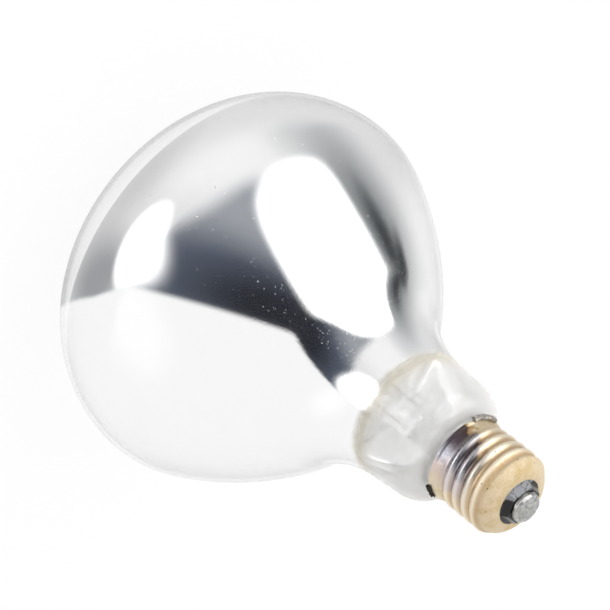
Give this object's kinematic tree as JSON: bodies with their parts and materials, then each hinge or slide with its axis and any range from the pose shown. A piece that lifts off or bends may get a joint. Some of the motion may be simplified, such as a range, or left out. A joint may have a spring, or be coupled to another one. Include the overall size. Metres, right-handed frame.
{
  "type": "infrared heat lamp bulb",
  "caption": "Mirrored reflector heat lamp: blown glass bulb with clear neck and face, inner coil on a glass stem, and a brass screw cap with a centre contact.",
  "frame": {"origin": "apex of the domed face, on the lamp's axis", "axes": "+Z along the lamp's axis from the face to the centre contact, cap up; +X to the right of a viewer who looks along +Y"},
  "size_m": [0.127, 0.127, 0.1642],
  "materials": {
    "clear_glass": "clear blown soda-lime glass",
    "mirror_film": "vapour-deposited aluminium, bright mirror",
    "stem_glass": "clear drawn and pressed glass",
    "cap_brass": "rolled sheet, heat tinted towards the rim",
    "black_glass": "opaque black, glossy",
    "solder": "dull grey, rough",
    "basing_cement": "matt, baked",
    "scorched_cement": "matt, burnt",
    "nickel_wire": "drawn wire",
    "copper_wire": "drawn copper wire, dulled",
    "tungsten": "coiled wire, dark grey"
  },
  "bodies": {
    "root": {"glass_envelope": "clear_glass", "reflector_film": "mirror_film", "glass_stem": "stem_glass", "exhaust_tube": "stem_glass", "stem_arbor": "stem_glass", "screw_shell": "cap_brass", "contact_plate": "cap_brass", "insulator": "black_glass", "contact_solder": "solder", "rim_solder": "solder", "cement_ring": "basing_cement", "cement_bead": "scorched_cement", "inner_lead_left": "nickel_wire", "inner_lead_right": "nickel_wire", "support_hook_1": "nickel_wire", "support_hook_2": "nickel_wire", "support_hook_3": "nickel_wire", "support_hook_4": "nickel_wire", "rim_lead": "copper_wire", "contact_lead": "copper_wire", "filament": "tungsten"}
  },
  "joints": []
}
